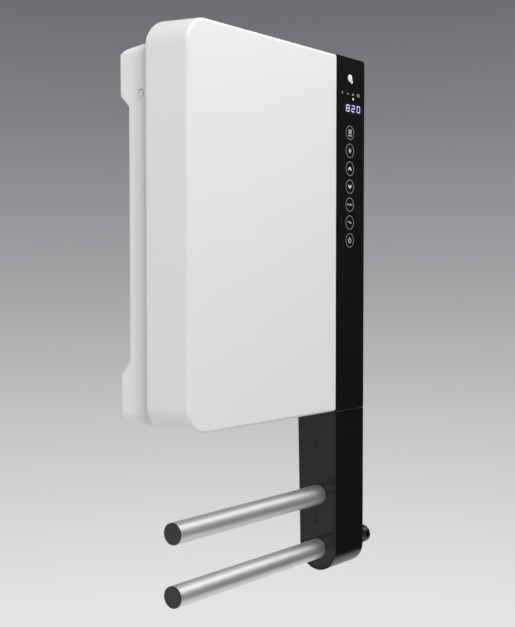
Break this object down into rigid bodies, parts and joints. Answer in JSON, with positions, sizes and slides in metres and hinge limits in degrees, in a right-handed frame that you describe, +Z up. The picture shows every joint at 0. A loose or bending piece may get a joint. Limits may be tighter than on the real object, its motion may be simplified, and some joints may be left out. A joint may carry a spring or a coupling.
{
  "type": "bathroom wall fan heater",
  "caption": "Wall fan heater: white cover, black touch column and a towel arm with round bars; hangs on a steel bracket, with cross-flow fan and pull-out dust filter inside.",
  "frame": {"origin": "on the wall plane, at the centre of the wall bracket's two screw holes", "axes": "+Y into the wall, +Z up, +X to the right seen from the room (towards the touch column)"},
  "size_m": [0.3886, 0.1108, 0.6616],
  "materials": {
    "cover_white": "satin white moulded plastic, fine even texture",
    "housing_white": "matt white moulded plastic",
    "panel_black": "high-gloss black touch panel",
    "column_black": "satin black moulded plastic",
    "lens_white": "milky sensor lens",
    "display_dark": "dark display body",
    "board_green": "printed circuit board",
    "part_blue": "relay and capacitor cases",
    "inner_dark": "dark grey glass-filled plastic",
    "filter_dark": "woven dust filter mesh",
    "zinc_steel": "zinc-plated steel",
    "shaft_steel": "ground steel",
    "bush_bronze": "sintered bronze",
    "rubber_black": "soft black rubber",
    "fan_alu": "thin rolled aluminium blades",
    "fin_alu": "bare aluminium fins",
    "heater_ceramic": "insulated heating bars",
    "terminal_white": "terminal block plastic",
    "bar_aluminium": "satin anodised aluminium tube",
    "cap_grey": "dark grey end caps",
    "hook_black": "black knob",
    "wire_red": "silicone wire insulation"
  },
  "bodies": {
    "housing": {"front_cover": "cover_white", "outlet_grille": "inner_dark", "control_column": "column_black", "touch_panel": "panel_black", "sensor_lens": "lens_white", "display_module": "display_dark", "touch_board": "board_green", "touch_springs": "zinc_steel", "rear_housing": "housing_white", "intake_panel": "housing_white", "chassis": "inner_dark", "housing_screws": "zinc_steel", "wall_bracket": "zinc_steel", "side_screws": "housing_white", "fan_scroll": "inner_dark", "air_guide": "inner_dark", "fan_motor": "zinc_steel", "motor_ring": "rubber_black", "bearing_bush": "bush_bronze", "bearing_seat": "rubber_black", "heater_frame": "inner_dark", "heating_bars": "heater_ceramic", "heater_fins": "fin_alu", "thermal_cutout": "terminal_white", "power_board": "board_green", "board_parts": "part_blue", "terminal_block": "terminal_white", "cord_clamp": "inner_dark", "cable_grommet": "rubber_black", "switch_body": "column_black", "towel_arm": "column_black", "arm_side_plate": "column_black", "arm_end_plate": "column_black", "arm_screws": "column_black", "arm_spine": "zinc_steel", "spine_bolts": "zinc_steel", "bar_sockets": "inner_dark", "bar_spigots": "zinc_steel", "bar_bolt": "zinc_steel", "towel_bar_upper": "bar_aluminium", "towel_bar_lower": "bar_aluminium", "bar_caps": "cap_grey", "robe_hook": "hook_black", "wires": "wire_red"},
    "fan": {"fan_wheel": "fan_alu", "bearing_pin": "shaft_steel", "motor_shaft": "shaft_steel"},
    "filter": {"filter_frame": "inner_dark", "filter_mesh": "filter_dark"},
    "rocker": {"switch_rocker": "panel_black"}
  },
  "joints": [
    {"name": "fan_spin", "type": "hinge", "parent": "housing", "child": "fan", "pos_m": [-0.036, -0.062, -0.285], "axis": [1, 0, 0], "continuous": true},
    {"name": "filter_slide", "type": "slide", "parent": "housing", "child": "filter", "axis": [0, 0, 1], "range_m": [0, 0.25]},
    {"name": "switch_rock", "type": "hinge", "parent": "housing", "child": "rocker", "pos_m": [0.1595, -0.033, -0.333], "axis": [0, 1, 0], "range_deg": [-14, 0]}
  ]
}
